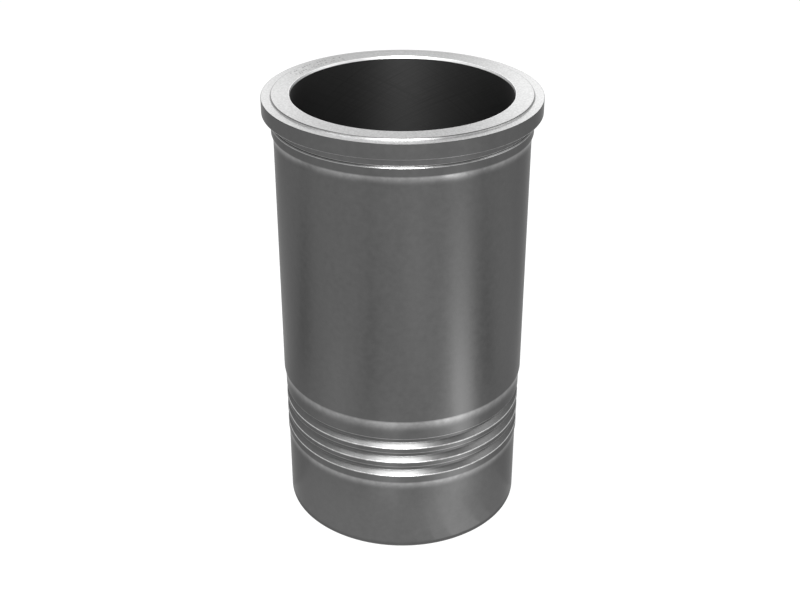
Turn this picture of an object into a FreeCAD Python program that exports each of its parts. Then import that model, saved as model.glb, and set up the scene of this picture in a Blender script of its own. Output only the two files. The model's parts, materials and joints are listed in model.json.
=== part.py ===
"""A wet cylinder liner for a heavy diesel engine: one cast-iron sleeve, turned all over and honed inside.

It stands on its foot with the flange up. The origin is at the middle of the foot, on the bore's axis,
and Z runs up the bore. All sizes are in millimetres. The whole sleeve is one turned section, drawn in
the half plane of its axis as (radius, height) and swept once round.
"""

import FreeCAD
import Part
import math
import os
from dataclasses import dataclass

# The bore, which every wall is measured from.
BORE_DIAMETER = 137.16
BORE_MOUTH_WIDTH = 0.45
BORE_MOUTH_HEIGHT = 1.5
BORE_FOOT_CHAMFER = 1.2

# Walls and steps of the outside. The barrel is the wall that the coolant touches.
BARREL_WALL = 11.1
PILOT_STEP = 1.25
SEAL_STEP = 0.97
SKIRT_STEP = 0.55
FLANGE_REACH = 5.33

# Lengths along the axis, from the foot up.
SKIRT_LENGTH = 52.55
LAST_LAND_LENGTH = 5.0
GROOVE_WIDTH = 6.9
GROOVE_PITCH = 10.6
GROOVE_COUNT = 3
FIRST_LAND_LENGTH = 14.0
BARREL_LENGTH = 165.7
PILOT_LENGTH = 6.0
RELIEF_LENGTH = 6.05
FLANGE_THICKNESS = 9.83

# The fire ridge: the raised ring round the bore that the head gasket closes on.
RIDGE_HEIGHT = 1.05
RIDGE_SLOPE_WIDTH = 0.6
LEDGE_WIDTH = 5.6

# The seal grooves. The lower flank slopes, so a seal ring slides in over the lip as the sleeve goes down.
# Small flats fill the corners of the floor and break the lips.
GROOVE_DEPTH = 3.2
GROOVE_FLANK_RISE = 2.9
GROOVE_FLOOR_CHAMFER = 0.5
GROOVE_LIP_BREAK = 0.4

# Run-outs: the hollow curves by which one diameter fades into the smaller one below it.
PILOT_RUNOUT_RADIUS = 18.0
SHOULDER_RUNOUT_RADIUS = 48.0

# Relief under the flange, and broken edges.
RELIEF_ROUND = 1.2
FLANGE_TOP_BREAK = 0.4
FLANGE_FOOT_BREAK = 0.7
SKIRT_FOOT_CHAMFER = 1.0

# A chamfer or a rounding takes at most this share of the shorter side that meets at its corner.
MOST_OF_A_SIDE = 0.48

# Radii, worked out from the bore outwards.
bore_radius = BORE_DIAMETER / 2
barrel_radius = bore_radius + BARREL_WALL
pilot_radius = barrel_radius + PILOT_STEP
flange_radius = pilot_radius + FLANGE_REACH
seal_radius = barrel_radius - SEAL_STEP
skirt_radius = seal_radius - SKIRT_STEP
groove_floor_radius = seal_radius - GROOVE_DEPTH
ridge_foot_radius = flange_radius - LEDGE_WIDTH
ridge_top_radius = ridge_foot_radius - RIDGE_SLOPE_WIDTH

# Heights, worked out from the foot up.
lowest_groove_height = SKIRT_LENGTH + LAST_LAND_LENGTH
highest_lip_height = lowest_groove_height + (GROOVE_COUNT - 1) * GROOVE_PITCH + GROOVE_WIDTH
shoulder_height = highest_lip_height + FIRST_LAND_LENGTH
pilot_foot_height = shoulder_height + BARREL_LENGTH
pilot_top_height = pilot_foot_height + PILOT_LENGTH
seat_height = pilot_top_height + RELIEF_LENGTH
ledge_height = seat_height + FLANGE_THICKNESS
total_height = ledge_height + RIDGE_HEIGHT


@dataclass
class Corner:
    """A corner of the section at a radius and a height. It is sharp unless it has a chamfer or a rounding."""

    radius: float
    height: float
    chamfer: float = 0.0
    rounding: float = 0.0

    def point(self):
        """The corner as a point of the half plane."""
        return FreeCAD.Vector(self.radius, 0, self.height)


@dataclass
class RunOut:
    """A hollow curve from the sharp edge of a wall down to the smaller wall below, where it fades in."""

    upper_radius: float
    lower_radius: float
    height: float
    curve_radius: float

    def drop(self):
        """How far the curve runs down the axis."""
        step = self.upper_radius - self.lower_radius
        return math.sqrt(2 * self.curve_radius * step - step**2)

    def start(self):
        """The sharp edge that the curve leaves."""
        return FreeCAD.Vector(self.upper_radius, 0, self.height)

    def end(self):
        """The point where the curve has faded into the smaller wall."""
        return FreeCAD.Vector(self.lower_radius, 0, self.height - self.drop())

    def middle(self):
        """A point halfway along the curve."""
        half_turn = math.asin(self.drop() / self.curve_radius) / 2
        centre = self.end() + FreeCAD.Vector(self.curve_radius, 0, 0)
        reach = FreeCAD.Vector(-math.cos(half_turn), 0, math.sin(half_turn))
        return centre + reach * self.curve_radius


def top_corners():
    """The bore's mouth, the fire ridge and the ledge round it."""
    return [
        Corner(bore_radius, total_height - BORE_MOUTH_HEIGHT),
        Corner(bore_radius + BORE_MOUTH_WIDTH, total_height),
        Corner(ridge_top_radius, total_height),
        Corner(ridge_foot_radius, ledge_height),
    ]


def flange_corners():
    """The flange's rim, down to the seat that rests in the block's counterbore."""
    return [
        Corner(flange_radius, ledge_height, chamfer=FLANGE_TOP_BREAK),
        Corner(flange_radius, seat_height, chamfer=FLANGE_FOOT_BREAK),
    ]


def pilot_corners():
    """The relief in the corner under the flange, and the pilot land that centres the sleeve."""
    return [
        Corner(barrel_radius, seat_height, rounding=RELIEF_ROUND),
        Corner(barrel_radius, pilot_top_height),
        Corner(pilot_radius, pilot_top_height - PILOT_STEP),
    ]


def groove_corners(lower_lip_height):
    """One seal groove, from its upper lip round its floor to its lower lip."""
    upper_lip_height = lower_lip_height + GROOVE_WIDTH
    return [
        Corner(seal_radius, upper_lip_height, chamfer=GROOVE_LIP_BREAK),
        Corner(groove_floor_radius, upper_lip_height, chamfer=GROOVE_FLOOR_CHAMFER),
        Corner(groove_floor_radius, lower_lip_height + GROOVE_FLANK_RISE, chamfer=GROOVE_FLOOR_CHAMFER),
        Corner(seal_radius, lower_lip_height, chamfer=GROOVE_LIP_BREAK),
    ]


def seal_corners():
    """The row of seal grooves, from the highest down, with the lands between them."""
    corners = []
    for step in reversed(range(GROOVE_COUNT)):
        corners += groove_corners(lowest_groove_height + step * GROOVE_PITCH)
    return corners


def foot_corners():
    """The foot that the sleeve stands on, with the bore's lower edge."""
    return [
        Corner(skirt_radius, 0, chamfer=SKIRT_FOOT_CHAMFER),
        Corner(bore_radius, 0, chamfer=BORE_FOOT_CHAMFER),
    ]


def section_steps():
    """The whole section in order, from the bore's mouth out over the flange and down to the foot."""
    return [
        *top_corners(),
        *flange_corners(),
        *pilot_corners(),
        RunOut(pilot_radius, barrel_radius, pilot_foot_height, PILOT_RUNOUT_RADIUS),
        RunOut(barrel_radius, seal_radius, shoulder_height, SHOULDER_RUNOUT_RADIUS),
        *seal_corners(),
        RunOut(seal_radius, skirt_radius, SKIRT_LENGTH, SHOULDER_RUNOUT_RADIUS),
        *foot_corners(),
    ]


def first_point(step):
    """Where a step of the section begins."""
    return step.start() if isinstance(step, RunOut) else step.point()


def last_point(step):
    """Where a step of the section ends."""
    return step.end() if isinstance(step, RunOut) else step.point()


def corner_points(before, corner, after):
    """The corner alone if it is sharp, the two ends of its chamfer, or its rounding's ends and middle."""
    point = corner.point()
    back = before - point
    ahead = after - point
    half_angle = back.getAngle(ahead) / 2
    most = MOST_OF_A_SIDE * min(back.Length, ahead.Length)
    back.normalize()
    ahead.normalize()
    if corner.chamfer:
        trim = min(corner.chamfer, most)
        return [point + back * trim, point + ahead * trim]
    if corner.rounding:
        trim = min(corner.rounding / math.tan(half_angle), most)
        rounding = trim * math.tan(half_angle)
        inwards = (back + ahead).normalize()
        sagitta = rounding / math.sin(half_angle) - rounding
        return [point + back * trim, point + inwards * sagitta, point + ahead * trim]
    return [point]


def section_edges(steps):
    """The closed outline of the section. A run of three points is an arc, and a run of two is a chamfer."""
    runs = []
    for index, step in enumerate(steps):
        if isinstance(step, RunOut):
            runs.append([step.start(), step.middle(), step.end()])
        else:
            before = last_point(steps[index - 1])
            after = first_point(steps[(index + 1) % len(steps)])
            runs.append(corner_points(before, step, after))
    edges = []
    for index, run in enumerate(runs):
        if len(run) == 3:
            edges.append(Part.Arc(*run).toShape())
        elif len(run) == 2:
            edges.append(Part.LineSegment(*run).toShape())
        following = runs[(index + 1) % len(runs)]
        edges.append(Part.LineSegment(run[-1], following[0]).toShape())
    return edges


def cylinder_liner():
    """The sleeve: its section swept once round the axis."""
    face = Part.Face(Part.Wire(section_edges(section_steps())))
    axis_point = FreeCAD.Vector(0, 0, 0)
    axis_direction = FreeCAD.Vector(0, 0, 1)
    return face.revolve(axis_point, axis_direction, 360)


def main():
    """Write the sleeve and print its main sizes."""
    os.makedirs("parts", exist_ok=True)
    liner = cylinder_liner()
    liner.exportStep("parts/cylinder_liner.step")
    print("valid", liner.isValid(), "solids", len(liner.Solids), "volume", round(liner.Volume))
    print("height", total_height, "flange radius", flange_radius, "seat height", seat_height)
    print("pilot", pilot_radius, pilot_foot_height, pilot_top_height)
    print("seal land", seal_radius, lowest_groove_height, highest_lip_height)
    print("ridge", ridge_top_radius, "ledge", ridge_foot_radius, "skirt", skirt_radius)


main()
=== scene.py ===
"""Looks of a wet cylinder liner: one cast-iron sleeve that stands on its skirt with the flange up.

The sleeve is a turned section swept round the bore's axis. One casting carries three finishes: a dark
turned outside, a bright ground top and a honed bore. The top's pale colour is partly painted light, and the
dark outside and the darker bore are partly painted shade. The drawing's sizes are in millimetres, and meshes
are in metres.
"""

import json
import logging
import math
from dataclasses import dataclass
from enum import Enum

import bpy
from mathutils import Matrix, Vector


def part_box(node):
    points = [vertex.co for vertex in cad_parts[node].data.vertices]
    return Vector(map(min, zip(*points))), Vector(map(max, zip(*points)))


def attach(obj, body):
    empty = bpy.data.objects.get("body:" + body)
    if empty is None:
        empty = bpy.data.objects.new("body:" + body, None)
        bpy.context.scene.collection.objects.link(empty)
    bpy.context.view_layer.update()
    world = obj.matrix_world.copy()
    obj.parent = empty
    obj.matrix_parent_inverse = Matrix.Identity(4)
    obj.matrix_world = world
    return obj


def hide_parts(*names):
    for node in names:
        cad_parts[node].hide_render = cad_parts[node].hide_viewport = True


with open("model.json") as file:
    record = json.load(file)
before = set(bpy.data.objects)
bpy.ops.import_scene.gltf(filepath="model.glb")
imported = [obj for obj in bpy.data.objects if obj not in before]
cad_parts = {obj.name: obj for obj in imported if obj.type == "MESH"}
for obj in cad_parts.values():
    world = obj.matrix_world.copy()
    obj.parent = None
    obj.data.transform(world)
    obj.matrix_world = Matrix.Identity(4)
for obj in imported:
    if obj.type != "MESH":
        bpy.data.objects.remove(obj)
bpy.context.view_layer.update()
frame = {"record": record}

LOG = logging.getLogger("cylinder_liner")
MM = 0.001
WHITE = (1.0, 1.0, 1.0, 1.0)

# Where most of a noise lies.
MOST_OF_A_NOISE = {"From Min": 0.3, "From Max": 0.7}

# A lamp's power for each square metre of a face that glows at 1, and how many millimetres a bump of 1 rises.
FLUX_OF_A_FACE = 4.0
BUMP_HEIGHT = 0.1

# The kinds of node that are used most.
MATH = "ShaderNodeMath"
VECTOR_MATH = "ShaderNodeVectorMath"
WHOLE_MATH = "FunctionNodeIntegerMath"
MIX = "ShaderNodeMixRGB"
MIX_SHADER = "ShaderNodeMixShader"
NOISE = "ShaderNodeTexNoise"
RANGE = "ShaderNodeMapRange"
SAMPLE = "GeometryNodeSampleIndex"
STORE = "GeometryNodeStoreNamedAttribute"
NAMED = "GeometryNodeInputNamedAttribute"


def linear(code: str) -> tuple[float, float, float, float]:
    """Turn an sRGB colour into the linear colour that a shader takes.

    Args:
        code: The colour as six hexadecimal digits.

    Returns:
        Red, green, blue and an alpha of one.
    """
    channels = [int(code[start : start + 2], 16) / 255 for start in (0, 2, 4)]
    lit = [c / 12.92 if c <= 0.04045 else ((c + 0.055) / 1.055) ** 2.4 for c in channels]
    return (*lit, 1.0)


def add(tree: bpy.types.NodeTree, kind: str, inputs: dict | None = None, **settings) -> bpy.types.Node:
    """Add one node to a tree, with its settings and what goes into it.

    Args:
        tree: The shader or geometry tree.
        kind: The node's type name.
        inputs: For each socket, by name or place, either the socket that feeds it or its value.
        settings: The node's own properties.

    Returns:
        The new node.
    """
    node = tree.nodes.new(kind)
    for name, value in settings.items():
        setattr(node, name, value)
    for key, source in (inputs or {}).items():
        if isinstance(source, bpy.types.NodeSocket):
            tree.links.new(source, node.inputs[key])
        else:
            node.inputs[key].default_value = source
    return node


def blank_material(name: str) -> tuple[bpy.types.Material, bpy.types.NodeTree]:
    """Start a material whose tree is empty.

    Args:
        name: The material's name.

    Returns:
        The material and its tree.
    """
    made = bpy.data.materials.new(name)
    made.use_nodes = True
    made.node_tree.nodes.clear()
    return made, made.node_tree


def end_in_metal(
    tree: bpy.types.NodeTree, height: bpy.types.NodeSocket, relief: float, looks: dict
) -> None:
    """End a material's tree in a bumpy metal whose gloss is drawn out across the tool's path.

    Args:
        tree: The material's tree.
        height: The height of the bumps, as a multiple of the bump height above.
        relief: How strongly the bumps show.
        looks: The metal's colour, roughness and spread, by socket.
    """
    bumps = {"Height": height, "Strength": relief, "Distance": BUMP_HEIGHT * MM}
    bump = add(tree, "ShaderNodeBump", bumps).outputs[0]
    across = add(tree, "ShaderNodeTangent", direction_type="UV_MAP", uv_map="UVMap").outputs[0]
    metal = {"Metallic": 1.0, "Normal": bump, "Tangent": across, **looks}
    shader = add(tree, "ShaderNodeBsdfPrincipled", metal).outputs[0]
    add(tree, "ShaderNodeOutputMaterial", {"Surface": shader})


def put_in_scene(name: str, data: bpy.types.ID) -> bpy.types.Object:
    """Make an object of a mesh, a lamp or a camera and link it to the scene.

    Args:
        name: The object's name.
        data: The mesh, lamp or camera.

    Returns:
        The object.
    """
    thing = bpy.data.objects.new(name, data)
    bpy.context.scene.collection.objects.link(thing)
    return thing


def area_lamp(name: str, width: float, length: float, glow: float) -> bpy.types.Object:
    """Make a rectangular lamp that the camera doesn't see.

    Args:
        name: The lamp's name.
        width: Its width in metres.
        length: Its length in metres.
        glow: How bright its face is, where 1 is white.

    Returns:
        The lamp.
    """
    face = bpy.data.lights.new(name, "AREA")
    face.shape = "RECTANGLE"
    face.size, face.size_y = width, length
    face.energy = glow * FLUX_OF_A_FACE * width * length
    lamp = put_in_scene(name, face)
    lamp.visible_camera = False
    return lamp


class Finish(Enum):
    """The finishes of the casting, in the order of its material slots."""

    TURNED = 0
    GROUND = 1
    HONED = 2


@dataclass(frozen=True)
class SectionPoint:
    """A point of the section, in millimetres from the bore's axis and from the foot.

    The tone is above zero where the iron is drawn bright, partly as worn bare iron and partly as painted
    highlight, and below zero where it is drawn dark as painted shade. The finish is that of the wall which
    leads on from the point.
    """

    radius: float
    height: float
    tone: float
    finish: Finish

    def moved(self, radius: float, height: float, tone: float) -> "SectionPoint":
        """The same finish at another place and tone."""
        return SectionPoint(radius, height, tone, self.finish)


@dataclass(frozen=True)
class Corner:
    """A corner of the section, softened by a small rounding as every machined edge is.

    The wall tone is that of the straight wall which leads on from the corner.
    """

    radius: float
    height: float
    finish: Finish
    rounding: float = 0.15
    tone: float = 0.0
    wall_tone: float = 0.0

    ARC_STEP = math.radians(18)
    MOST_OF_A_SIDE = 0.86

    def place(self) -> Vector:
        """The sharp corner in the half plane of the axis."""
        return Vector((self.radius, self.height))

    def first(self) -> Vector:
        """Where the walls before this corner lead to."""
        return self.place()

    def last(self) -> Vector:
        """Where the walls after this corner come from."""
        return self.place()

    def points(self, before: Vector, after: Vector) -> list[SectionPoint]:
        """Round the corner between the places on either side of it.

        Args:
            before: The place that the section comes from.
            after: The place that it goes on to.

        Returns:
            The points of the rounding, in order.
        """
        corner = self.place()
        back, ahead = before - corner, after - corner
        half_angle = back.angle(ahead) / 2
        most = self.MOST_OF_A_SIDE * min(back.length, ahead.length)
        trim = min(self.rounding / math.tan(half_angle), most)
        rounding = trim * math.tan(half_angle)
        inwards = (back.normalized() + ahead.normalized()).normalized()
        centre = corner + inwards * (rounding / math.sin(half_angle))
        start = corner + back.normalized() * trim - centre
        turn = start.angle_signed(corner + ahead.normalized() * trim - centre)
        steps = max(2, math.ceil(abs(turn) / self.ARC_STEP))
        made = []
        for step in range(steps + 1):
            angle = -turn * step / steps
            reach = Vector(
                (
                    start.x * math.cos(angle) - start.y * math.sin(angle),
                    start.x * math.sin(angle) + start.y * math.cos(angle),
                )
            )
            made.append(SectionPoint(centre.x + reach.x, centre.y + reach.y, self.tone, self.finish))
        return made


@dataclass(frozen=True)
class RunOut:
    """A hollow curve from the edge of one wall down to the smaller wall below, which it meets smoothly."""

    upper_radius: float
    lower_radius: float
    height: float
    curve_radius: float
    finish: Finish
    rounding: float = 0.4
    tone: float = 0.0
    wall_tone: float = 0.0

    STEPS = 9
    # The tone paints a highlight on the edge and the curve. The edge has this share of the tone, and the
    # other two shape how the tone falls down the curve.
    EDGE_SHARE = 0.5
    FADE_POWER = 3
    LINGER = 6

    def drop(self) -> float:
        """How far the curve runs down the axis."""
        step = self.upper_radius - self.lower_radius
        return math.sqrt(2 * self.curve_radius * step - step**2)

    def first(self) -> Vector:
        """The edge that the curve leaves."""
        return Vector((self.upper_radius, self.height))

    def last(self) -> Vector:
        """Where the curve has faded into the smaller wall."""
        return Vector((self.lower_radius, self.height - self.drop()))

    def points(self, before: Vector, after: Vector) -> list[SectionPoint]:
        """Follow the curve down from its softened edge.

        Args:
            before: The place that the section comes from.
            after: The place that it goes on to. It is not used, since the curve needs no help to meet it.

        Returns:
            The points of the edge and of the curve, in order. The tone, a painted highlight, lingers below
            the edge and then fades down the curve.
        """
        whole_turn = math.asin(self.drop() / self.curve_radius)
        centre = self.last() + Vector((self.curve_radius, 0))
        curve = []
        for step in range(1, self.STEPS + 1):
            share = step / self.STEPS
            angle = whole_turn * (1 - share)
            radius = centre.x - self.curve_radius * math.cos(angle)
            height = centre.y + self.curve_radius * math.sin(angle)
            # The painted highlight fades down the curve.
            wear_and_highlight = self.tone * (1 - share) ** self.FADE_POWER * (1 + self.LINGER * share)
            curve.append(SectionPoint(radius, height, wear_and_highlight, self.finish))
        next_place = Vector((curve[0].radius, curve[0].height))
        edge_tone = self.tone * self.EDGE_SHARE
        edge = Corner(self.upper_radius, self.height, self.finish, self.rounding, edge_tone)
        return edge.points(before, next_place) + curve


@dataclass(frozen=True)
class LinerSizes:
    """Sizes of the sleeve in millimetres: first those that the frame states, then those of its drawing."""

    bore_radius: float
    pilot_radius: float
    pilot_foot: float
    seal_radius: float
    skirt_top: float
    seat: float
    top: float
    flange_radius: float

    pilot_step: float = 1.25
    skirt_step: float = 0.55
    pilot_length: float = 6.0
    pilot_ledge: float = 0.65
    pilot_lead: float = 0.9
    ridge_height: float = 1.05
    ridge_slope: float = 0.5
    ledge_width: float = 5.6
    last_land: float = 5.0
    first_land: float = 14.0
    groove_width: float = 6.9
    groove_pitch: float = 10.6
    groove_depth: float = 3.2
    groove_count: int = 3
    groove_floor_round: float = 0.6
    upper_lip_round: float = 0.5
    lower_lip_round: float = 0.6
    groove_flank_rise: float = 2.9
    pilot_curve: float = 18.0
    shoulder_curve: float = 48.0
    relief_round: float = 1.2
    mouth_width: float = 0.45
    mouth_height: float = 1.5
    foot_chamfer: float = 1.0
    bore_foot_chamfer: float = 1.2
    flange_top_round: float = 0.2
    flange_foot_round: float = 0.7

    @classmethod
    def from_frame(cls, record: dict, node: str) -> "LinerSizes":
        """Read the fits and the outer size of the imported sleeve.

        Args:
            record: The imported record.
            node: The name of the sleeve's node.

        Returns:
            The sizes, with the drawing's own values for the rest.
        """
        mounts = {mount["name"]: mount for mount in record["mounts"]}
        height = {name: mount["pos_m"][2] / MM for name, mount in mounts.items()}
        dims = {name: mount["dims"] for name, mount in mounts.items()}
        return cls(
            bore_radius=dims["bore"]["r_mm"],
            pilot_radius=dims["pilot"]["r_mm"],
            pilot_foot=height["pilot"] - dims["pilot"]["length_mm"] / 2,
            seal_radius=dims["seal_lands"]["r_mm"],
            skirt_top=height["seal_lands"] - dims["seal_lands"]["length_mm"] / 2,
            seat=height["flange_seat"],
            top=height["fire_ridge"],
            flange_radius=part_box(node)[1].x / MM,
        )

    @property
    def barrel(self) -> float:
        """The radius of the barrel, which the coolant touches."""
        return self.pilot_radius - self.pilot_step

    @property
    def skirt(self) -> float:
        """The radius of the skirt below the seals."""
        return self.seal_radius - self.skirt_step


@dataclass(frozen=True)
class LinerSection:
    """The turned section of the sleeve, from the bore's mouth out over the flange and down to the foot.

    The hold is how far from its ends, in millimetres, a straight wall is held.
    """

    sizes: LinerSizes
    hold: float = 0.2

    HOLDS_IN_A_SHORT_WALL = 3

    def top_steps(self) -> list[Corner]:
        """The bore's mouth, the fire ridge, the ledge and the flange's rim."""
        s = self.sizes
        ledge = s.top - s.ridge_height
        ridge_foot = s.flange_radius - s.ledge_width
        ground = Finish.GROUND
        # The tones paint light and shade: the bright edges of the mouth are partly worn bare and partly
        # painted highlight, and the dark tones on the ridge, its foot and the flange's upper and lower edges
        # are painted shade.
        return [
            Corner(s.bore_radius, s.top - s.mouth_height, ground, rounding=0.3, tone=0.6, wall_tone=0.9),
            Corner(s.bore_radius + s.mouth_width, s.top, ground, rounding=0.12, tone=1.0),
            Corner(ridge_foot - s.ridge_slope, s.top, ground, rounding=0.35, tone=-0.95, wall_tone=-0.3),
            Corner(ridge_foot, ledge, ground, rounding=0.15, tone=-0.22),
            Corner(s.flange_radius, ledge, Finish.TURNED, s.flange_top_round, tone=-0.4),
            Corner(s.flange_radius, s.seat, ground, s.flange_foot_round, tone=-0.6),
        ]

    def pilot_steps(self) -> list[Corner | RunOut]:
        """The relief under the flange, the pilot land and its run-out into the barrel."""
        s = self.sizes
        land_top = s.pilot_foot + s.pilot_length
        turned = Finish.TURNED
        # The relief wall's slight bright tone is painted light that lifts its shade under the flange, the
        # bright edges of the pilot land are partly worn bare and partly painted highlight, and its run-out is
        # painted highlight.
        return [
            Corner(s.barrel, s.seat, turned, s.relief_round, wall_tone=0.04),
            Corner(s.barrel, land_top, turned, rounding=0.3, tone=0.4, wall_tone=0.5),
            Corner(s.barrel + s.pilot_ledge, land_top, turned, rounding=0.15, wall_tone=0.1),
            Corner(s.pilot_radius, land_top - s.pilot_lead, turned, rounding=0.3, tone=0.7),
            RunOut(s.pilot_radius, s.barrel, s.pilot_foot, s.pilot_curve, turned, tone=0.35),
        ]

    def groove_steps(self, lower_lip: float) -> list[Corner]:
        """One seal groove, from its upper lip round its floor to its lower lip.

        Args:
            lower_lip: The height of the lower lip.

        Returns:
            The groove's corners.
        """
        s = self.sizes
        upper_lip = lower_lip + s.groove_width
        floor = s.seal_radius - s.groove_depth
        flank_top = lower_lip + s.groove_flank_rise
        turned = Finish.TURNED
        # The bright lips are partly worn bare and partly painted highlight, and the floor's faint bright tone
        # and the lower flank's faint dark tone are painted highlight and painted shade.
        return [
            Corner(s.seal_radius, upper_lip, turned, s.upper_lip_round, tone=0.45),
            Corner(floor, upper_lip, turned, s.groove_floor_round),
            Corner(floor, flank_top, turned, s.groove_floor_round, tone=0.05, wall_tone=-0.05),
            Corner(s.seal_radius, lower_lip, turned, s.lower_lip_round, tone=1.0),
        ]

    def seal_steps(self) -> list[Corner | RunOut]:
        """The shoulder under the barrel and the seal grooves, down to the skirt."""
        s = self.sizes
        lowest_groove = s.skirt_top + s.last_land
        highest_lip = lowest_groove + (s.groove_count - 1) * s.groove_pitch + s.groove_width
        shoulder = highest_lip + s.first_land
        turned = Finish.TURNED
        # The tones of the shoulder and of the skirt's run-out paint highlights that fade down their curves.
        steps = [RunOut(s.barrel, s.seal_radius, shoulder, s.shoulder_curve, turned, tone=0.36)]
        for count in reversed(range(s.groove_count)):
            steps += self.groove_steps(lowest_groove + count * s.groove_pitch)
        steps.append(RunOut(s.seal_radius, s.skirt, s.skirt_top, s.shoulder_curve, turned, tone=0.3))
        return steps

    def foot_steps(self) -> list[Corner]:
        """The foot that the sleeve stands on, and the bore's lower edge."""
        s = self.sizes
        # The bright edges of the foot and of the bore's lower end are partly worn bare and partly painted
        # highlight.
        return [
            Corner(s.skirt, s.foot_chamfer, Finish.TURNED, rounding=0.2, tone=0.4),
            Corner(s.skirt - s.foot_chamfer, 0.0, Finish.GROUND, rounding=0.2, tone=0.4),
            Corner(s.bore_radius + s.bore_foot_chamfer, 0.0, Finish.GROUND, rounding=0.2, tone=0.4),
            Corner(s.bore_radius, s.bore_foot_chamfer, Finish.HONED, rounding=0.3, tone=0.2),
        ]

    def points(self) -> list[SectionPoint]:
        """Join the steps into one closed outline.

        Returns:
            The outline's points. Each straight wall has a holding point near either end, so that its
            shading stays straight and the tone of an edge stays at the edge.
        """
        steps = self.top_steps() + self.pilot_steps() + self.seal_steps() + self.foot_steps()
        outline: list[SectionPoint] = []
        for index, step in enumerate(steps):
            before = steps[index - 1].last()
            after = steps[(index + 1) % len(steps)].first()
            outline += step.points(before, after)
            outline += self.holding_points(outline[-1], steps, index)
        return outline

    def holding_points(
        self, start: SectionPoint, steps: list[Corner | RunOut], index: int
    ) -> list[SectionPoint]:
        """Points that hold a straight wall's shading.

        Args:
            start: The point that the wall leaves.
            steps: All steps of the section.
            index: The place of the step that the wall leaves.

        Returns:
            One point near either end of the wall, or none on a short wall.
        """
        following = steps[(index + 1) % len(steps)]
        beyond = steps[(index + 2) % len(steps)]
        end = following.points(steps[index].last(), beyond.first())[0]
        run = Vector((end.radius - start.radius, end.height - start.height))
        if run.length < self.HOLDS_IN_A_SHORT_WALL * self.hold:
            return []
        step = run.normalized() * self.hold
        return [
            start.moved(start.radius + step.x, start.height + step.y, steps[index].wall_tone),
            start.moved(end.radius - step.x, end.height - step.y, steps[index].wall_tone),
        ]


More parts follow.
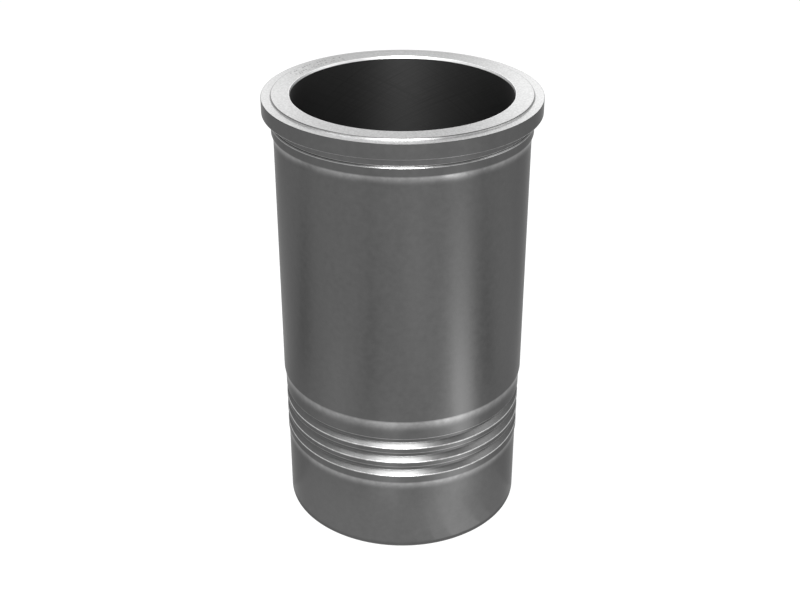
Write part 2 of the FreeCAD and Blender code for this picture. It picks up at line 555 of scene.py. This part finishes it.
@dataclass(frozen=True)
class TurnedSleeve:
    """The casting: its section swept round the axis by a tree of geometry nodes.

    The weld is the distance in millimetres within which points of the sweep are joined.
    """

    section: LinerSection
    facets: int = 360
    weld: float = 0.002

    NAME = "liner_casting"

    def wire(self) -> bpy.types.Object:
        """Draw the section as a closed row of points in the half plane of the axis.

        Returns:
            An object with one point for each point of the section, and its tone, finish and distance along.
        """
        points = self.section.points()
        count = len(points)
        places = [(point.radius * MM, 0.0, point.height * MM) for point in points]
        mesh = bpy.data.meshes.new("liner_section")
        mesh.from_pydata(places, [(i, (i + 1) % count) for i in range(count)], [])
        lengths = [(Vector(places[i]) - Vector(places[i - 1])).length for i in range(count)]
        whole = sum(lengths[1:]) + lengths[0]
        travelled = [sum(lengths[1 : i + 1]) / whole for i in range(count)]
        for name, kind, values in (
            ("tone", "FLOAT", [point.tone for point in points]),
            ("finish", "INT", [point.finish.value for point in points]),
            ("along", "FLOAT", travelled),
        ):
            layer = mesh.attributes.new(name, kind, "POINT")
            layer.data.foreach_set("value", values)
        return put_in_scene(self.NAME, mesh)

    def lathe(
        self, materials: dict[Finish, bpy.types.Material]
    ) -> tuple[bpy.types.NodeTree, dict[str, str]]:
        """Build the tree that sweeps a section round the axis.

        Args:
            materials: The material of each finish.

        Returns:
            The tree, and the identifier of each named input.
        """
        tree = bpy.data.node_groups.new("turned_sweep", "GeometryNodeTree")
        tree.interface.new_socket("Section", in_out="INPUT", socket_type="NodeSocketGeometry")
        named = {
            "Facets": tree.interface.new_socket("Facets", in_out="INPUT", socket_type="NodeSocketInt"),
            "Weld": tree.interface.new_socket("Weld", in_out="INPUT", socket_type="NodeSocketFloat"),
        }
        tree.interface.new_socket("Sleeve", in_out="OUTPUT", socket_type="NodeSocketGeometry")
        given = add(tree, "NodeGroupInput").outputs

        # A grid with a row for each point of the section, and one more that closes it.
        size = add(tree, "GeometryNodeAttributeDomainSize", {0: given["Section"]}).outputs["Point Count"]
        rows = add(tree, WHOLE_MATH, {0: size, 1: 1}, operation="ADD").outputs[0]
        columns = add(tree, WHOLE_MATH, {0: given["Facets"], 1: 1}, operation="ADD").outputs[0]
        grid = add(tree, "GeometryNodeMeshGrid", {"Vertices X": rows, "Vertices Y": columns})
        index = add(tree, "GeometryNodeInputIndex").outputs[0]
        row = add(tree, WHOLE_MATH, {0: index, 1: columns}, operation="DIVIDE_FLOOR").outputs[0]
        column = add(tree, WHOLE_MATH, {0: index, 1: columns}, operation="FLOORED_MODULO").outputs[0]
        source = add(tree, WHOLE_MATH, {0: row, 1: size}, operation="FLOORED_MODULO").outputs[0]
        lap = add(tree, WHOLE_MATH, {0: row, 1: size}, operation="DIVIDE_FLOOR").outputs[0]
        around = add(tree, MATH, {0: column, 1: given["Facets"]}, operation="DIVIDE").outputs[0]
        turn = add(tree, MATH, {0: around, 1: math.tau}, operation="MULTIPLY").outputs[0]

        # Each row is placed as its point of the section, turned round the axis.
        place = add(tree, "GeometryNodeInputPosition").outputs[0]
        taken = {"Geometry": given["Section"], "Value": place, "Index": source}
        drawn = add(tree, SAMPLE, taken, data_type="FLOAT_VECTOR").outputs[0]
        turned = {"Vector": drawn, "Angle": turn}
        spot = add(tree, "ShaderNodeVectorRotate", turned, rotation_type="Z_AXIS").outputs[0]
        placed = {"Geometry": grid.outputs["Mesh"], "Position": spot}
        swept = add(tree, "GeometryNodeSetPosition", placed).outputs[0]

        # The tone, and how far round and along the section a point is, go with the points.
        carried = {"around": around}
        for name in ("tone", "along"):
            layer = add(tree, NAMED, {"Name": name}, data_type="FLOAT").outputs[0]
            taken = {"Geometry": given["Section"], "Value": layer, "Index": source}
            carried[name] = add(tree, SAMPLE, taken, data_type="FLOAT").outputs[0]
        carried["along"] = add(tree, MATH, {0: carried["along"], 1: lap}, operation="ADD").outputs[0]
        stored = {}
        for name, value in carried.items():
            kept = {"Geometry": swept, "Name": name, "Value": value}
            swept = add(tree, STORE, kept, data_type="FLOAT", domain="POINT").outputs[0]
            stored[name] = add(tree, NAMED, {"Name": name}, data_type="FLOAT").outputs[0]
        unwrapped = {"X": stored["along"], "Y": stored["around"]}
        flat = add(tree, "ShaderNodeCombineXYZ", unwrapped).outputs[0]
        kept = {"Geometry": swept, "Name": "UVMap", "Value": flat}
        swept = add(tree, STORE, kept, data_type="FLOAT2", domain="CORNER").outputs[0]

        # A face takes the finish of the point that it leads on from.
        step = {0: index, 1: given["Facets"]}
        face_row = add(tree, WHOLE_MATH, step, operation="DIVIDE_FLOOR").outputs[0]
        layer = add(tree, NAMED, {"Name": "finish"}, data_type="INT").outputs[0]
        taken = {"Geometry": given["Section"], "Value": layer, "Index": face_row}
        finish = add(tree, SAMPLE, taken, data_type="INT").outputs[0]
        kept = {"Geometry": swept, "Name": "finish", "Value": finish}
        swept = add(tree, STORE, kept, data_type="INT", domain="FACE").outputs[0]

        joined = {"Geometry": swept, "Distance": given["Weld"]}
        swept = add(tree, "GeometryNodeMergeByDistance", joined).outputs[0]
        smooth = {"Geometry": swept, "Shade Smooth": True}
        swept = add(tree, "GeometryNodeSetShadeSmooth", smooth).outputs[0]
        swept = add(tree, "GeometryNodeRealizeInstances", {"Geometry": swept}).outputs[0]
        layer = add(tree, NAMED, {"Name": "finish"}, data_type="INT").outputs[0]
        for kind, material in materials.items():
            same = {2: layer, 3: kind.value}
            chosen = add(tree, "FunctionNodeCompare", same, data_type="INT", operation="EQUAL").outputs[0]
            dressed = {"Geometry": swept, "Selection": chosen, "Material": material}
            swept = add(tree, "GeometryNodeSetMaterial", dressed).outputs[0]
        add(tree, "NodeGroupOutput", {0: swept})
        return tree, {name: socket.identifier for name, socket in named.items()}

    def build(self, materials: dict[Finish, bpy.types.Material]) -> bpy.types.Object:
        """Sweep the section and keep the result as a plain mesh.

        Args:
            materials: The material of each finish.

        Returns:
            The finished sleeve.
        """
        sleeve = self.wire()
        tree, sockets = self.lathe(materials)
        sweep = sleeve.modifiers.new("sweep", "NODES")
        sweep.node_group = tree
        sweep[sockets["Facets"]] = self.facets
        sweep[sockets["Weld"]] = self.weld * MM
        graph = bpy.context.evaluated_depsgraph_get()
        mesh = bpy.data.meshes.new_from_object(
            sleeve.evaluated_get(graph), preserve_all_data_layers=True, depsgraph=graph
        )
        sleeve.modifiers.remove(sweep)
        # The slots are filled again in the order of the finishes.
        finishes = [value.value for value in mesh.attributes["finish"].data]
        mesh.materials.clear()
        for material in materials.values():
            mesh.materials.append(material)
        mesh.polygons.foreach_set("material_index", finishes)
        wire = sleeve.data
        sleeve.data = mesh
        bpy.data.meshes.remove(wire)
        mesh.name = self.NAME
        return sleeve


@dataclass(frozen=True)
class TurnedIron:
    """Grey cast iron, turned outside and left with a dark film of phosphate and oil.

    Its dark colour is partly the film and partly painted shade. Edges and lips show bright iron, partly
    worn bare and partly painted highlight, and some edges and corners hold painted shade. Patterns are in
    millimetres.
    """

    # Partly the film's colour and partly painted shade on the sides.
    film_and_shade: str = "565656"
    thin_film_and_shade: str = "616161"
    # Partly worn bare iron and partly painted highlight on edges and lips.
    bare_and_lit: str = "C4C4C4"
    # Painted shade on edges and corners.
    painted_shade: str = "2A2A2A"
    rim: str = "C4C4C4"
    roughness: float = 0.335
    roughness_swing: float = 0.03
    polish_of_bare: float = 0.08
    spread: float = 0.25
    # The real feed is about 0.3 mm a turn, too fine to show, so it is drawn about three times as coarse.
    tool_mark: float = 0.9
    mottle: float = 4.0
    mottle_depth: float = 4.0
    relief: float = 0.12
    least_wear_and_highlight: float = 0.6

    def material(self) -> bpy.types.Material:
        """Mix the film, bare edges with painted highlight, and painted shade, over a bump of tool marks."""
        # To the eye: a dark satin wall, partly painted shade, with a faint mottle, which draws lights out
        # into upright streaks, and thin bright lines of bare iron and painted highlight on edges, and thin
        # lines of painted shade.
        made, tree = blank_material("turned_phosphated_iron")
        place = add(tree, "ShaderNodeTexCoord").outputs["Object"]
        axes = add(tree, "ShaderNodeSeparateXYZ", {0: place}).outputs
        tone = add(tree, "ShaderNodeAttribute", attribute_name="tone").outputs["Fac"]

        patches = {"Vector": place, "Scale": 1 / (self.mottle * MM), "Detail": 4.0, "Roughness": 0.6}
        cloud = add(tree, NOISE, patches).outputs[0]
        feed = {"W": axes["Z"], "Scale": 1 / (self.tool_mark * MM), "Detail": 2.0}
        marks = add(tree, NOISE, feed, noise_dimensions="1D").outputs[0]

        films = {"Fac": cloud, "Color1": linear(self.film_and_shade), "Color2": linear(self.thin_film_and_shade)}
        colour = add(tree, MIX, films).outputs[0]
        wear_and_highlight_range = {"Value": cloud, **MOST_OF_A_NOISE, "To Min": self.least_wear_and_highlight, "To Max": 1.0}
        wear_and_highlight = add(tree, RANGE, wear_and_highlight_range).outputs[0]
        # The tone paints bare iron and highlights above zero, and shade below zero.
        bare_and_lit = add(tree, MATH, {0: tone, 1: wear_and_highlight}, operation="MULTIPLY", use_clamp=True).outputs[0]
        painted_shade_share = add(tree, MATH, {0: tone, 1: -1.0}, operation="MULTIPLY", use_clamp=True).outputs[0]
        for share, cover in ((bare_and_lit, self.bare_and_lit), (painted_shade_share, self.painted_shade)):
            mixed = {"Fac": share, "Color1": colour, "Color2": linear(cover)}
            colour = add(tree, MIX, mixed).outputs[0]

        swing = {
            "Value": cloud,
            "From Min": 0.25,
            "From Max": 0.75,
            "To Min": self.roughness - self.roughness_swing,
            "To Max": self.roughness + self.roughness_swing,
        }
        rough = add(tree, RANGE, swing).outputs[0]
        polished = {0: bare_and_lit, 1: -self.polish_of_bare, 2: rough}
        rough = add(tree, MATH, polished, operation="MULTIPLY_ADD").outputs[0]
        raised = {0: cloud, 1: self.mottle_depth, 2: marks}
        height = add(tree, MATH, raised, operation="MULTIPLY_ADD").outputs[0]
        looks = {
            "Base Color": colour,
            "Roughness": rough,
            "Specular Tint": linear(self.rim),
            "Anisotropic": self.spread,
        }
        end_in_metal(tree, height, self.relief, looks)
        return made


@dataclass(frozen=True)
class PunchedDots:
    """Rows of small plain dots punched into the flange's top.

    Distances are in millimetres, and angles in degrees round the bore from the right. The chance is the
    share of places that have a dot, and the edge is the share of a dot's radius where it is full.
    """

    rows: tuple[float, float] = (73.2, 77.9)
    row_width: float = 1.5
    start: float = 121.0
    end: float = 155.0
    pitch: float = 2.1
    dot: float = 1.5
    chance: float = 0.7
    scatter: float = 0.3
    edge: float = 0.6

    def mask(self, tree: bpy.types.NodeTree, place: bpy.types.NodeSocket) -> bpy.types.NodeSocket:
        """Scatter the dots along the rows.

        Args:
            tree: The material's tree.
            place: The place on the object.

        Returns:
            1 inside a dot and 0 outside.
        """
        axes = add(tree, "ShaderNodeSeparateXYZ", {0: place}).outputs
        angle = add(tree, MATH, {0: axes["Y"], 1: axes["X"]}, operation="ARCTAN2").outputs[0]
        flat = add(tree, VECTOR_MATH, {0: place, 1: (1.0, 1.0, 0.0)}, operation="MULTIPLY").outputs[0]
        reach = add(tree, VECTOR_MATH, {0: flat}, operation="LENGTH").outputs["Value"]
        paces = self.rows[0] / self.pitch
        along = add(tree, MATH, {0: angle, 1: paces}, operation="MULTIPLY").outputs[0]
        across = add(tree, MATH, {0: reach, 1: 1 / (self.pitch * MM)}, operation="MULTIPLY").outputs[0]
        spot = add(tree, "ShaderNodeCombineXYZ", {0: along, 1: across}).outputs[0]
        grid = {"Vector": spot, "Scale": 1.0, "Randomness": self.scatter}
        cells = add(tree, "ShaderNodeTexVoronoi", grid, voronoi_dimensions="2D").outputs
        size = self.dot / self.pitch / 2
        edge = {"Value": cells["Distance"], "From Min": size, "From Max": self.edge * size}
        dots = add(tree, RANGE, edge).outputs[0]
        lot = add(tree, "ShaderNodeSeparateColor", {0: cells["Color"]}).outputs[0]
        here = add(tree, MATH, {0: lot, 1: self.chance}, operation="LESS_THAN").outputs[0]
        near = []
        for row in self.rows:
            band = {0: reach, 1: row * MM, 2: self.row_width * MM}
            near.append(add(tree, MATH, band, operation="COMPARE").outputs[0])
        inside = add(tree, MATH, {0: near[0], 1: near[1]}, operation="MAXIMUM").outputs[0]
        middle = math.radians((self.start + self.end) / 2)
        half = math.radians((self.end - self.start) / 2)
        span = add(tree, MATH, {0: angle, 1: middle, 2: half}, operation="COMPARE").outputs[0]
        for share in (here, inside, span):
            dots = add(tree, MATH, {0: dots, 1: share}, operation="MULTIPLY").outputs[0]
        return dots


@dataclass(frozen=True)
class GroundIron:
    """Bare cast iron, faced and ground flat.

    Its pale colour is partly the bare face and partly painted light. Edges are brighter, partly worn and
    partly painted highlight, and the ridge, its foot and the flange's lower edge hold painted shade. Patterns
    are in millimetres.
    """

    # Partly the bare face's colour and partly painted light on the top.
    bare_and_lit: str = "B7B7B7"
    grain: str = "949494"
    # Partly worn edges and partly painted highlight.
    worn_edge_and_highlight: str = "EAEAEA"
    # Painted shade on the ridge and the flange's lower edge.
    painted_shade: str = "3A3A3A"
    dot: str = "4A4A4A"
    edge_cover: float = 0.9
    dot_cover: float = 0.9
    roughness: float = 0.36
    spread: float = 0.5
    # Real grit and grinding rings are about 0.1 mm apart, too fine to show, so both are drawn coarser.
    ring: float = 0.7
    grit: float = 1.3
    grit_depth: float = 0.7
    dot_depth: float = 1.5
    relief: float = 0.12

    def material(self) -> bpy.types.Material:
        """Lay grit, rings and punched dots on bare iron, with worn edges, painted highlight and painted
        shade.
        """
        # To the eye: a pale, finely grained face, partly painted light, with faint rings round the bore and a
        # bright line at its mouth that is partly worn and partly painted highlight.
        made, tree = blank_material("ground_iron")
        place = add(tree, "ShaderNodeTexCoord").outputs["Object"]
        flat = add(tree, VECTOR_MATH, {0: place, 1: (1.0, 1.0, 0.0)}, operation="MULTIPLY").outputs[0]
        reach = add(tree, VECTOR_MATH, {0: flat}, operation="LENGTH").outputs["Value"]
        tone = add(tree, "ShaderNodeAttribute", attribute_name="tone").outputs["Fac"]
        grains = {"Vector": place, "Scale": 1 / (self.grit * MM), "Detail": 3.0, "Roughness": 0.7}
        grit = add(tree, NOISE, grains).outputs[0]
        turns = {"W": reach, "Scale": 1 / (self.ring * MM), "Detail": 2.0}
        rings = add(tree, NOISE, turns, noise_dimensions="1D").outputs[0]

        share = add(tree, RANGE, {"Value": grit, **MOST_OF_A_NOISE}).outputs[0]
        face = {"Fac": share, "Color1": linear(self.grain), "Color2": linear(self.bare_and_lit)}
        colour = add(tree, MIX, face).outputs[0]
        # The tone paints worn edges and highlights above zero, and shade below zero.
        edge = {0: tone, 1: self.edge_cover}
        wear_and_highlight = add(tree, MATH, edge, operation="MULTIPLY", use_clamp=True).outputs[0]
        painted_shade_share = add(tree, MATH, {0: tone, 1: -1.0}, operation="MULTIPLY", use_clamp=True).outputs[0]
        dots = PunchedDots().mask(tree, place)
        dotted = add(tree, MATH, {0: dots, 1: self.dot_cover}, operation="MULTIPLY").outputs[0]
        for share, cover in ((wear_and_highlight, self.worn_edge_and_highlight), (painted_shade_share, self.painted_shade), (dotted, self.dot)):
            mixed = {"Fac": share, "Color1": colour, "Color2": linear(cover)}
            colour = add(tree, MIX, mixed).outputs[0]

        raised = {0: grit, 1: self.grit_depth, 2: rings}
        height = add(tree, MATH, raised, operation="MULTIPLY_ADD").outputs[0]
        sunk = {0: dots, 1: -self.dot_depth, 2: height}
        height = add(tree, MATH, sunk, operation="MULTIPLY_ADD").outputs[0]
        looks = {"Base Color": colour, "Roughness": self.roughness, "Anisotropic": self.spread}
        end_in_metal(tree, height, self.relief, looks)
        return made


@dataclass(frozen=True)
class HonedIron:
    """The bore's cast iron, honed to a fine cross-hatch that holds oil. Patterns are in millimetres."""

    # Partly the oily honed iron's colour and partly painted shade in the bore.
    colour: str = "343434"
    line: str = "2E2E2E"
    roughness: float = 0.55
    spread: float = 0.5
    hatch_angle: float = 28.0
    # Real hone lines are a fraction of a millimetre apart, too fine to show, so they are drawn coarser.
    line_spacing: float = 1.4
    line_stretch: float = 0.04
    relief: float = 0.06
    darkest: float = 0.3
    palest: float = 0.6

    def hatch(self, tree: bpy.types.NodeTree, radius: float, hand: int) -> bpy.types.NodeSocket:
        """Draw one family of hone lines, which climb round the bore without a seam.

        Args:
            tree: The material's tree.
            radius: The bore's radius in millimetres.
            hand: 1 for lines that climb one way round, and -1 for the other.

        Returns:
            The lines as a value from 0 to 1.
        """
        place = add(tree, "ShaderNodeTexCoord").outputs["Object"]
        height = add(tree, "ShaderNodeSeparateXYZ", {0: place}).outputs["Z"]
        twist = hand / (radius * MM * math.tan(math.radians(self.hatch_angle)))
        angle = add(tree, MATH, {0: height, 1: twist}, operation="MULTIPLY").outputs[0]
        spun = {"Vector": place, "Angle": angle}
        turned = add(tree, "ShaderNodeVectorRotate", spun, rotation_type="Z_AXIS").outputs[0]
        stretch = {0: turned, 1: (1.0, 1.0, self.line_stretch)}
        drawn = add(tree, VECTOR_MATH, stretch, operation="MULTIPLY").outputs[0]
        lines = {"Vector": drawn, "Scale": 1 / (self.line_spacing * MM), "Detail": 2.0, "Roughness": 0.6}
        return add(tree, NOISE, lines).outputs[0]

    def material(self, radius: float) -> bpy.types.Material:
        """Cross the two families of hone lines.

        Args:
            radius: The bore's radius in millimetres.

        Returns:
            The material.
        """
        # To the eye: a dull dark wall that mirrors little, with faint lines that cross; its darkness is
        # partly painted shade.
        made, tree = blank_material("honed_iron")
        left = self.hatch(tree, radius, 1)
        right = self.hatch(tree, radius, -1)
        lines = add(tree, MATH, {0: left, 1: right}, operation="MINIMUM").outputs[0]
        depth = {"Value": lines, "From Min": self.darkest, "From Max": self.palest}
        share = add(tree, RANGE, depth).outputs[0]
        wall = {"Fac": share, "Color1": linear(self.line), "Color2": linear(self.colour)}
        colour = add(tree, MIX, wall).outputs[0]
        looks = {"Base Color": colour, "Roughness": self.roughness, "Anisotropic": self.spread}
        end_in_metal(tree, lines, self.relief, looks)
        return made


@dataclass(frozen=True)
class SoftBox:
    """A soft lamp that faces the sleeve and that the camera doesn't see.

    The bearing is measured in degrees round the sleeve from the camera's side, and grows to the right. The
    rise is in degrees too. Distances are in metres, and the aim is the height that the lamp faces. The glow
    is how bright the lamp's face is, where 1 is white.
    """

    name: str
    bearing: float
    rise: float
    distance: float
    width: float
    height: float
    glow: float
    aim: float = 0.15

    def build(self) -> bpy.types.Object:
        """Hang the lamp and turn it to the sleeve."""
        bearing, rise = math.radians(self.bearing), math.radians(self.rise)
        level = math.cos(rise)
        away = Vector((math.sin(bearing) * level, -math.cos(bearing) * level, math.sin(rise)))
        lamp = area_lamp(self.name, self.width, self.height, self.glow)
        lamp.location = Vector((0.0, 0.0, self.aim)) + away * self.distance
        lamp.rotation_euler = away.to_track_quat("Z", "Y").to_euler()
        return lamp


@dataclass(frozen=True)
class TablePanel:
    """A lit panel that lies on the table beside the sleeve, shines up and shows only in the iron.

    The bearing is measured as a soft box's, and the distances from the bore's axis are in metres.
    """

    name: str
    bearing: float
    near: float
    far: float
    width: float
    glow: float

    LIFT = 0.003

    def build(self) -> bpy.types.Object:
        """Lay the panel down, face up."""
        lamp = area_lamp(self.name, self.width, self.far - self.near, self.glow)
        bearing = math.radians(self.bearing)
        middle = (self.near + self.far) / 2
        lamp.location = (math.sin(bearing) * middle, -math.cos(bearing) * middle, self.LIFT)
        lamp.rotation_euler = (math.pi, 0.0, bearing)
        return lamp


@dataclass(frozen=True)
class GlowHump:
    """A soft hump of light on a ring of panels: brightest at its bearing, and faint past its breadth."""

    bearing: float
    peak: float
    breadth: float

    def at(self, bearing: float) -> float:
        """The glow that the hump adds at a bearing."""
        return self.peak * math.exp(-(((bearing - self.bearing) / self.breadth) ** 2))


@dataclass(frozen=True)
class PanelRing:
    """A ring of small panels that lie on the table in front of the sleeve.

    The ring's near and far sides are in metres from the bore's axis. A panel's glow is an even base and what
    the humps add at its bearing. Panels lie from one reach to the other, a step of degrees apart.
    """

    name: str
    near: float
    far: float
    width: float
    humps: tuple[GlowHump, ...]
    base: float = 0.0

    REACH = 72
    STEP = 9
    LEAST_GLOW = 0.05

    def build(self) -> list[bpy.types.Object]:
        """Lay each panel that is bright enough to matter."""
        laid = []
        for bearing in range(-self.REACH, self.REACH + 1, self.STEP):
            glow = self.base + sum(hump.at(bearing) for hump in self.humps)
            if glow >= self.LEAST_GLOW:
                name = f"{self.name}_{bearing % 360:03d}"
                laid.append(TablePanel(name, bearing, self.near, self.far, self.width, glow).build())
        return laid


@dataclass(frozen=True)
class GreyCard:
    """A grey card that lies on the table and is seen only in the iron. It is measured as a table panel is."""

    name: str
    bearing: float
    near: float
    far: float
    width: float

    GLOW = 0.55
    LIFT = 0.0015

    @classmethod
    def material(cls) -> bpy.types.Material:
        """Make the even grey that all the cards share."""
        made, tree = blank_material("grey_card")
        grey = add(tree, "ShaderNodeEmission", {"Strength": cls.GLOW}).outputs[0]
        add(tree, "ShaderNodeOutputMaterial", {"Surface": grey})
        return made

    def build(self, material: bpy.types.Material) -> bpy.types.Object:
        """Cut the card and lay it down.

        Args:
            material: The cards' grey.

        Returns:
            The card.
        """
        half = self.width / 2
        corners = [(-half, -self.near), (-half, -self.far), (half, -self.far), (half, -self.near)]
        mesh = bpy.data.meshes.new(self.name)
        mesh.from_pydata([(x, y, 0.0) for x, y in corners], [], [(0, 1, 2, 3)])
        mesh.materials.append(material)
        card = put_in_scene(self.name, mesh)
        card.location.z = self.LIFT
        card.rotation_euler.z = math.radians(self.bearing)
        for rays in ("camera", "diffuse", "transmission", "volume_scatter", "shadow"):
            setattr(card, f"visible_{rays}", False)
        return card


@dataclass(frozen=True)
class Studio:
    """A white table in a white room, with soft lamps round the sleeve and a camera in front of it.

    Distances are in metres, and the camera's rise is in degrees. The table's own light keeps it white to
    the camera, and its shade scales the rest, which the sleeve can shadow.
    """

    table_radius: float = 4.0
    table_sides: int = 64
    table_own_light: float = 0.89
    table_shade: float = 1.2
    table_white: str = "F4F4F4"
    room_light: float = 0.7

    lens: float = 56.95
    camera_rise: float = 28.385
    camera_distance: float = 0.8390
    camera_aim: float = 0.14346
    camera_shift_left: float = 0.00152

    def table(self) -> bpy.types.Object:
        """Lay the white table top, which looks white to the camera and in the iron, and keeps a shadow."""
        turns = [math.tau * step / self.table_sides for step in range(self.table_sides)]
        reach = self.table_radius
        rim = [(reach * math.cos(turn), reach * math.sin(turn), 0.0) for turn in turns]
        mesh = bpy.data.meshes.new("table_top")
        mesh.from_pydata(rim, [], [tuple(range(self.table_sides))])
        made, tree = blank_material("white_table")
        rays = add(tree, "ShaderNodeLightPath").outputs
        sent = {0: rays["Is Glossy Ray"], 1: rays["Is Transmission Ray"]}
        mirrored = add(tree, MATH, sent, operation="MAXIMUM").outputs[0]
        white = add(tree, "ShaderNodeBsdfDiffuse", {"Color": linear(self.table_white)}).outputs[0]
        rest = self.table_shade * (1 - self.table_own_light)
        dim = add(tree, "ShaderNodeBsdfDiffuse", {"Color": (rest, rest, rest, 1.0)}).outputs[0]
        own = add(tree, "ShaderNodeEmission", {"Strength": self.table_own_light}).outputs[0]
        shown = add(tree, "ShaderNodeAddShader", {0: own, 1: dim}).outputs[0]
        glow = add(tree, "ShaderNodeEmission", {"Strength": 1.0}).outputs[0]
        mixed = add(tree, MIX_SHADER, {0: rays["Is Camera Ray"], 1: white, 2: shown}).outputs[0]
        mixed = add(tree, MIX_SHADER, {0: mirrored, 1: mixed, 2: glow}).outputs[0]
        clear = add(tree, "ShaderNodeBsdfTransparent").outputs[0]
        under = add(tree, "ShaderNodeNewGeometry").outputs["Backfacing"]
        either = add(tree, MIX_SHADER, {0: under, 1: mixed, 2: clear}).outputs[0]
        add(tree, "ShaderNodeOutputMaterial", {"Surface": either})
        mesh.materials.append(made)
        top = put_in_scene("table_top", mesh)
        return top

    def room(self) -> None:
        """Fill the room with white light, full where it is seen and softer where it only lights."""
        world = bpy.data.worlds.new("white_room")
        world.use_nodes = True
        tree = world.node_tree
        tree.nodes.clear()
        rays = add(tree, "ShaderNodeLightPath").outputs
        seen = rays["Is Camera Ray"]
        for kind in ("Is Glossy Ray", "Is Transmission Ray"):
            seen = add(tree, MATH, {0: seen, 1: rays[kind]}, operation="MAXIMUM").outputs[0]
        soft = add(tree, "ShaderNodeBackground", {"Color": WHITE, "Strength": self.room_light}).outputs[0]
        full = add(tree, "ShaderNodeBackground", {"Color": WHITE, "Strength": 1.0}).outputs[0]
        either = add(tree, MIX_SHADER, {0: seen, 1: soft, 2: full}).outputs[0]
        add(tree, "ShaderNodeOutputWorld", {"Surface": either})
        bpy.context.scene.world = world

    def camera(self) -> None:
        """Set the camera up at the photograph's viewing angle."""
        rise = math.radians(self.camera_rise)
        eye = bpy.data.cameras.new("camera")
        eye.lens = self.lens
        holder = put_in_scene("camera", eye)
        back = self.camera_distance * math.cos(rise)
        up = self.camera_distance * math.sin(rise)
        holder.location = (-self.camera_shift_left, -back, self.camera_aim + up)
        holder.rotation_euler = (math.radians(90) - rise, 0.0, 0.0)
        bpy.context.scene.camera = holder

    def lamps(self) -> list[bpy.types.Object]:
        """Hang the soft boxes round the sleeve and lay the panels beside it."""
        # For each box: bearing, rise, distance, width, height, glow.
        boxes = (
            SoftBox("front_top_box", -6.0, 64.0, 1.0, 0.60, 0.40, 13.5),
            SoftBox("front_box", 0.0, 38.0, 1.0, 0.50, 0.36, 13.9),
            SoftBox("left_top_box", -76.0, 60.0, 1.0, 0.50, 0.36, 6.95),
            SoftBox("right_box", 95.0, 38.0, 1.0, 0.60, 0.36, 2.1),
            SoftBox("right_back_box", 162.0, 20.0, 1.0, 0.36, 0.60, 1.13),
            SoftBox("left_back_box", -160.0, 24.0, 1.0, 0.36, 0.60, 0.95),
        )
        # For each ring: near side, far side, width of a panel, humps.
        rings = (
            PanelRing("first_ring", 0.0785, 0.13, 0.020, (GlowHump(30, 0.65, 14),), base=0.2),
            PanelRing("second_ring", 0.13, 0.19, 0.028, (GlowHump(-10, 0.8, 9), GlowHump(40, 1.3, 16))),
            PanelRing("third_ring", 0.19, 0.32, 0.045, (GlowHump(-55, 0.25, 12), GlowHump(48, 2.4, 8))),
            PanelRing("fourth_ring", 0.32, 0.62, 0.080, (GlowHump(12, 0.4, 8), GlowHump(49, 1.0, 8))),
        )
        # For each panel, and for each card below: bearing, near side, far side, width.
        sides = (
            TablePanel("left_side_panel", -125, 0.22, 0.60, 0.140, 0.18),
            TablePanel("right_side_panel", 105, 0.22, 0.60, 0.140, 0.11),
        )
        laid = [lamp for ring in rings for lamp in ring.build()]
        return [lamp.build() for lamp in boxes + sides] + laid

    def cards(self) -> None:
        """Lay the grey cards on the table, which darken what the iron mirrors between the lights."""
        grey = GreyCard.material()
        for card in (
            GreyCard("left_card", -93.0, 0.26, 0.62, 0.10),
            GreyCard("middle_card", -26.0, 0.26, 0.62, 0.055),
            GreyCard("right_card", 74.0, 0.24, 0.62, 0.09),
        ):
            card.build(grey)

    def build(self) -> None:
        """Put up the table, the room, the lamps, the cards and the camera."""
        self.table()
        self.room()
        lamps = self.lamps()
        self.cards()
        self.camera()
        bpy.context.scene.view_settings.view_transform = "Standard"
        LOG.info("studio: %d lamps", len(lamps))


def main() -> None:
    """Build the sleeve, dress it and set the studio round it."""
    logging.basicConfig(level=logging.INFO, format="%(message)s")
    sizes = LinerSizes.from_frame(frame["record"], "cylinder_liner")
    materials = {
        Finish.TURNED: TurnedIron().material(),
        Finish.GROUND: GroundIron().material(),
        Finish.HONED: HonedIron().material(sizes.bore_radius),
    }
    sleeve = TurnedSleeve(LinerSection(sizes)).build(materials)
    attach(sleeve, "root")
    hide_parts("cylinder_liner")
    LOG.info("%s: %d faces", sleeve.name, len(sleeve.data.polygons))
    Studio().build()


if __name__ == "__main__":
    main()
